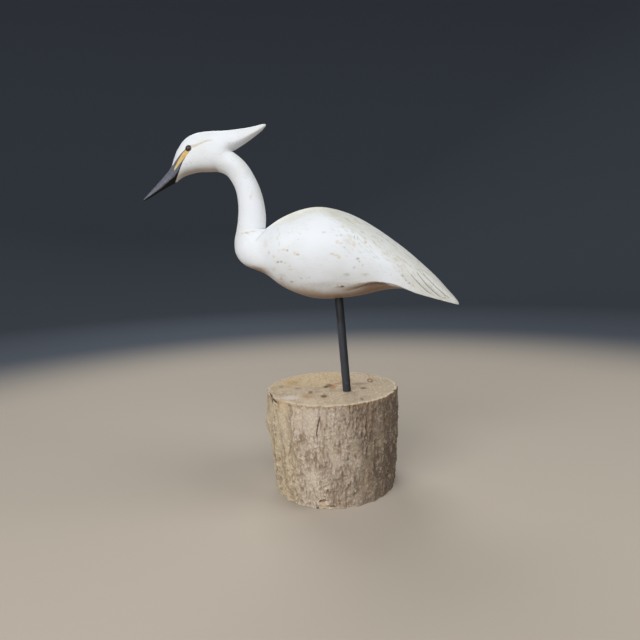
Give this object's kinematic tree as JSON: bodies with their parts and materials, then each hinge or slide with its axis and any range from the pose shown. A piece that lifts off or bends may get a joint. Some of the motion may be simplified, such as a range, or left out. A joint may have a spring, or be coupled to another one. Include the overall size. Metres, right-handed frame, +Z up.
{
  "type": "carved heron sculpture",
  "caption": "Carved wooden heron with a swept crest and long bill, on one dowel leg set in a bark-covered length of log.",
  "frame": {"origin": "centre of the log's underside, which stands on the surface", "axes": "+Z up; the bird looks along -X, and its plane of symmetry is parallel to XZ"},
  "size_m": [0.322, 0.1486, 0.3884],
  "materials": {
    "white_paint": "rubbed satin paint on wood",
    "eye": "glossy bead",
    "leg_paint": "satin paint on dowel",
    "log": "raw bark and sawn end grain"
  },
  "bodies": {
    "root": {"body": "white_paint", "head_and_neck": "white_paint", "right_eye": "eye", "left_eye": "eye", "leg": "leg_paint", "log_base": "log"}
  },
  "joints": []
}
